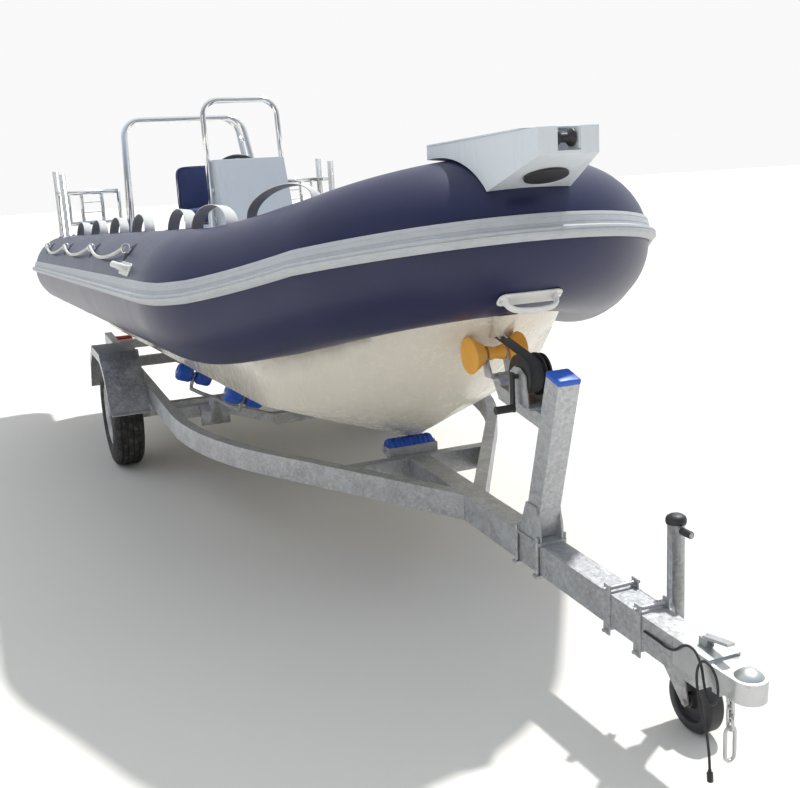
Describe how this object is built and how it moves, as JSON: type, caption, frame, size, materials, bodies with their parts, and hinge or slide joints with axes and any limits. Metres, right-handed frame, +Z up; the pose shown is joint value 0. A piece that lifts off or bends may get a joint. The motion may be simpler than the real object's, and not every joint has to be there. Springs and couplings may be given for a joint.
{
  "type": "inflatable rib boat on a road trailer",
  "caption": "Rigid-hulled inflatable boat with a navy tube collar, bow locker and console, parked on a galvanised road trailer with a winch, blue keel rollers and a jockey wheel.",
  "frame": {"origin": "middle of the bounding box in plan, on the ground the wheels stand on", "axes": "+X towards the bow and the trailer coupling, +Y to port, +Z up"},
  "size_m": [6.3606, 2.4126, 2.0829],
  "materials": {
    "navy_fabric": "satin",
    "grey_rubber": "satin",
    "cream_gelcoat": "gloss",
    "grey_gelcoat": "gloss",
    "black_plastic": "satin",
    "stainless": "polished",
    "navy_vinyl": "satin",
    "white_webbing": "woven",
    "white_plastic": "satin",
    "white_rope": "braided",
    "galvanised": "spangled",
    "zinc": "satin",
    "roller_blue": "satin",
    "roller_yellow": "satin",
    "black_webbing": "woven",
    "tyre_rubber": "matte",
    "cable": "satin",
    "lamp_red": "gloss"
  },
  "bodies": {
    "boat_and_trailer": {"hull": "cream_gelcoat", "deck": "grey_gelcoat", "collar": "navy_fabric", "rubbing_strake": "grey_rubber", "bow_locker": "grey_gelcoat", "vent_cover": "black_plastic", "stem_plate": "cream_gelcoat", "console": "grey_gelcoat", "console_hoop": "stainless", "seat_base": "grey_gelcoat", "seat_cushion": "navy_vinyl", "seat_backrest": "navy_vinyl", "stern_arch": "stainless", "stern_frame_port": "stainless", "stern_frame_starboard": "stainless", "grab_straps_port": "white_webbing", "grab_straps_starboard": "white_webbing", "carry_handles": "white_plastic", "lifeline_port": "white_rope", "lifeline_starboard": "white_rope", "lifeline_patches": "navy_fabric", "drawbar": "galvanised", "side_rail_port": "galvanised", "side_rail_starboard": "galvanised", "crossmembers": "galvanised", "axle": "galvanised", "fender_port": "galvanised", "fender_starboard": "galvanised", "roller_brackets": "galvanised", "cradle_port": "galvanised", "cradle_starboard": "galvanised", "cradle_rollers_port": "roller_blue", "cradle_rollers_starboard": "roller_blue", "winch_post": "galvanised", "winch_arm": "galvanised", "winch_drum": "black_plastic", "winch_strap": "black_webbing", "coupler": "zinc", "coupler_lever": "zinc", "jockey_clamp": "galvanised", "safety_chain": "zinc", "wiring_cord": "cable", "tail_lamps": "lamp_red"},
    "wheel_port": {"wheel_rim_port": "galvanised", "tyre_port": "tyre_rubber"},
    "wheel_starboard": {"wheel_rim_starboard": "galvanised", "tyre_starboard": "tyre_rubber"},
    "jockey_leg": {"jockey_leg": "galvanised"},
    "jockey_fork": {"jockey_fork": "galvanised"},
    "jockey_wheel": {"jockey_wheel": "black_plastic"},
    "steering_wheel": {"steering_wheel": "black_plastic"},
    "locker_lid": {"locker_lid": "grey_gelcoat"},
    "bow_roller": {"bow_roller": "roller_yellow"},
    "keel_roller_front": {"keel_roller_front": "roller_blue"},
    "keel_roller_mid": {"keel_roller_mid": "roller_blue"},
    "keel_roller_rear": {"keel_roller_rear": "roller_blue"},
    "anchor_roller": {"anchor_roller": "black_plastic"}
  },
  "joints": [
    {"name": "wheel_port_spin", "type": "hinge", "parent": "boat_and_trailer", "child": "wheel_port", "pos_m": [-1.10142, 0.91, 0.305], "axis": [0, 1, 0], "continuous": true},
    {"name": "wheel_starboard_spin", "type": "hinge", "parent": "boat_and_trailer", "child": "wheel_starboard", "pos_m": [-1.10142, -0.91, 0.305], "axis": [0, 1, 0], "continuous": true},
    {"name": "jockey_swing", "type": "hinge", "parent": "boat_and_trailer", "child": "jockey_leg", "pos_m": [2.67358, 0.1, 0.345], "axis": [0, 1, 0], "range_deg": [0, 90]},
    {"name": "jockey_caster", "type": "hinge", "parent": "jockey_leg", "child": "jockey_fork", "pos_m": [2.67358, 0.137, 0.2], "axis": [0, 0, 1], "continuous": true},
    {"name": "jockey_wheel_spin", "type": "hinge", "parent": "jockey_fork", "child": "jockey_wheel", "pos_m": [2.76858, 0.137, 0.095], "axis": [0, 1, 0], "continuous": true},
    {"name": "steering", "type": "hinge", "parent": "boat_and_trailer", "child": "steering_wheel", "pos_m": [-1.41326, 0, 1.5296], "axis": [-0.874, 0, 0.4859], "range_deg": [-540, 540]},
    {"name": "locker_lid_hinge", "type": "hinge", "parent": "boat_and_trailer", "child": "locker_lid", "pos_m": [1.82858, 0, 1.6855], "axis": [0, -1, 0], "range_deg": [0, 100]},
    {"name": "bow_roller_spin", "type": "hinge", "parent": "boat_and_trailer", "child": "bow_roller", "pos_m": [1.86558, 0, 0.987], "axis": [0, 1, 0], "continuous": true},
    {"name": "keel_roller_front_spin", "type": "hinge", "parent": "boat_and_trailer", "child": "keel_roller_front", "pos_m": [1.05858, 0, 0.46865], "axis": [0, 1, 0], "continuous": true},
    {"name": "keel_roller_mid_spin", "type": "hinge", "parent": "boat_and_trailer", "child": "keel_roller_mid", "pos_m": [-0.16142, 0, 0.4052], "axis": [0, 1, 0], "continuous": true},
    {"name": "keel_roller_rear_spin", "type": "hinge", "parent": "boat_and_trailer", "child": "keel_roller_rear", "pos_m": [-2.36142, 0, 0.3172], "axis": [0, 1, 0], "continuous": true},
    {"name": "anchor_roller_spin", "type": "hinge", "parent": "boat_and_trailer", "child": "anchor_roller", "pos_m": [2.32758, 0, 1.682], "axis": [0, 1, 0], "continuous": true}
  ]
}
